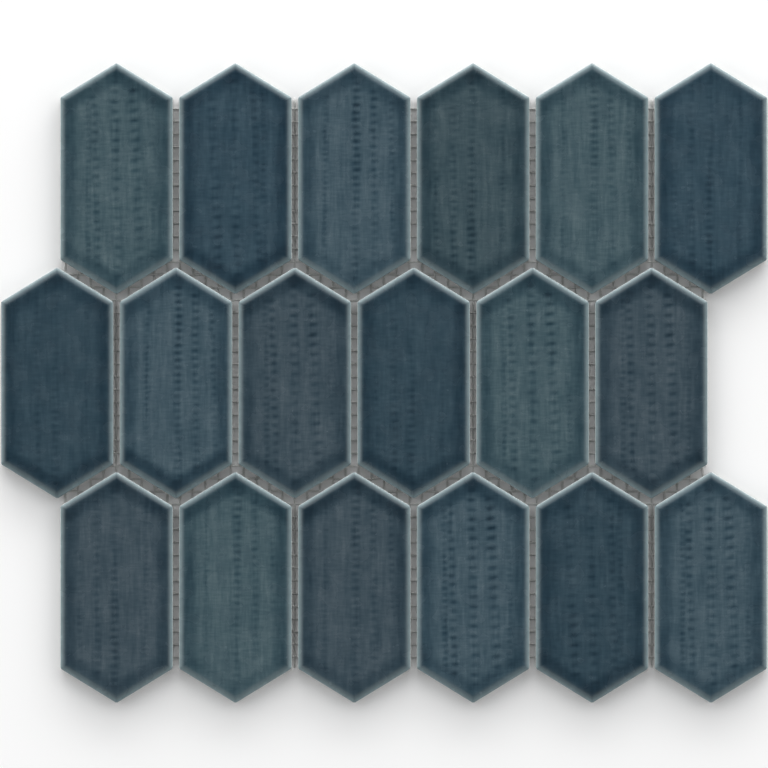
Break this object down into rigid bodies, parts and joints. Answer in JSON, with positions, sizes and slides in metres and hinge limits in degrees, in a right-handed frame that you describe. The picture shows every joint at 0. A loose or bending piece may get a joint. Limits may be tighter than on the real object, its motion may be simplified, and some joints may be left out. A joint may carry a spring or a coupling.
{
  "type": "picket mosaic tile sheet",
  "caption": "Mosaic sheet of glazed ceramic picket tiles, long hexagons with a point at each end, set in staggered rows with open joints on a fibreglass mesh.",
  "frame": {"origin": "middle of the sheet at the underside of the backing mesh", "axes": "+X along the rows, +Y from point to point of a tile, +Z out of the glazed faces"},
  "size_m": [0.3062, 0.2558, 0.008],
  "materials": {
    "glaze_grey_teal": "satin",
    "glaze_navy": "satin",
    "glaze_deep_navy": "satin",
    "glaze_steel_blue": "satin",
    "glaze_slate": "satin",
    "glaze_green_grey": "satin",
    "fibreglass_mesh": "matte"
  },
  "bodies": {
    "root": {"tile_r1_c1": "glaze_grey_teal", "tile_r1_c2": "glaze_navy", "tile_r1_c3": "glaze_steel_blue", "tile_r1_c4": "glaze_green_grey", "tile_r1_c5": "glaze_grey_teal", "tile_r1_c6": "glaze_navy", "tile_r2_c1": "glaze_deep_navy", "tile_r2_c2": "glaze_steel_blue", "tile_r2_c3": "glaze_slate", "tile_r2_c4": "glaze_deep_navy", "tile_r2_c5": "glaze_grey_teal", "tile_r2_c6": "glaze_slate", "tile_r3_c1": "glaze_slate", "tile_r3_c2": "glaze_grey_teal", "tile_r3_c3": "glaze_slate", "tile_r3_c4": "glaze_steel_blue", "tile_r3_c5": "glaze_deep_navy", "tile_r3_c6": "glaze_steel_blue", "mesh_strip_1": "fibreglass_mesh", "mesh_strip_2": "fibreglass_mesh", "mesh_strip_3": "fibreglass_mesh", "mesh_strip_4": "fibreglass_mesh", "mesh_strip_5": "fibreglass_mesh", "mesh_strip_6": "fibreglass_mesh", "mesh_strip_7": "fibreglass_mesh", "mesh_strip_8": "fibreglass_mesh", "mesh_strip_9": "fibreglass_mesh"}
  },
  "joints": []
}
